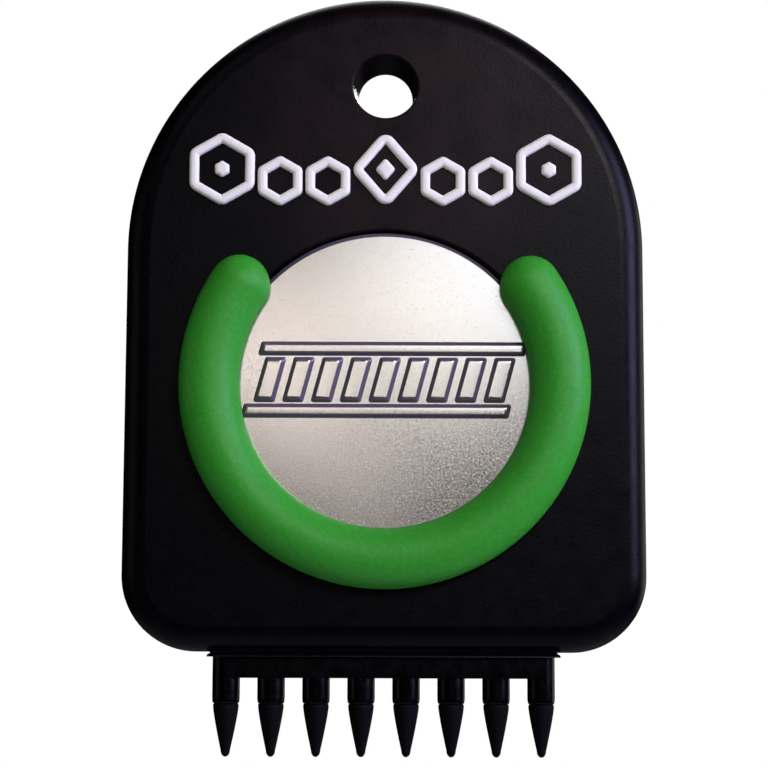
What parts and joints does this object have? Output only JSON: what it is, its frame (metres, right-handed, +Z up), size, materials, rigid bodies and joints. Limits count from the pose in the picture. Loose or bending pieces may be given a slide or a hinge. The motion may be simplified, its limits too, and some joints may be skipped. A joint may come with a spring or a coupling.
{
  "type": "club groove brush",
  "caption": "Pocket golf club groove cleaner: an arched rubber tag with a magnetic ball marker, a soft horseshoe grip and a row of pointed groove pins.",
  "frame": {"origin": "centre of the hang hole, in the middle plane of the body", "axes": "+Z up towards the arched end, pins pointing down; -Y out of the face with the ball marker; +X to the right as seen from the face"},
  "size_m": [0.0402, 0.0074, 0.059],
  "materials": {
    "rubber_black": "soft-touch matt, fine sparkle",
    "rubber_green": "silky matt",
    "rubber_white": "satin",
    "marker_steel": "fine bead-blasted satin nickel",
    "magnet_nickel": "bright nickel plate",
    "nylon_gloss": "gloss",
    "nylon_matt": "matt"
  },
  "bodies": {
    "tag": {"body": "rubber_black", "grip_ring": "rubber_green", "marker_magnet": "magnet_nickel", "pin_bar": "nylon_gloss", "groove_pin_1": "nylon_matt", "groove_pin_2": "nylon_matt", "groove_pin_3": "nylon_matt", "groove_pin_4": "nylon_matt", "groove_pin_5": "nylon_matt", "groove_pin_6": "nylon_matt", "groove_pin_7": "nylon_matt", "groove_pin_8": "nylon_matt", "emblem_hexagon_left": "rubber_white", "emblem_stud_left": "rubber_white", "emblem_cell_left_outer": "rubber_white", "emblem_cell_left_inner": "rubber_white", "emblem_diamond": "rubber_white", "emblem_lozenge": "rubber_white", "emblem_cell_right_inner": "rubber_white", "emblem_cell_right_outer": "rubber_white", "emblem_hexagon_right": "rubber_white", "emblem_stud_right": "rubber_white"},
    "marker": {"ball_marker": "marker_steel"}
  },
  "joints": [
    {"name": "marker_lift", "type": "slide", "parent": "tag", "child": "marker", "axis": [0, -1, 0], "range_m": [0, 0.012], "deforming": ["grip_ring"]}
  ]
}
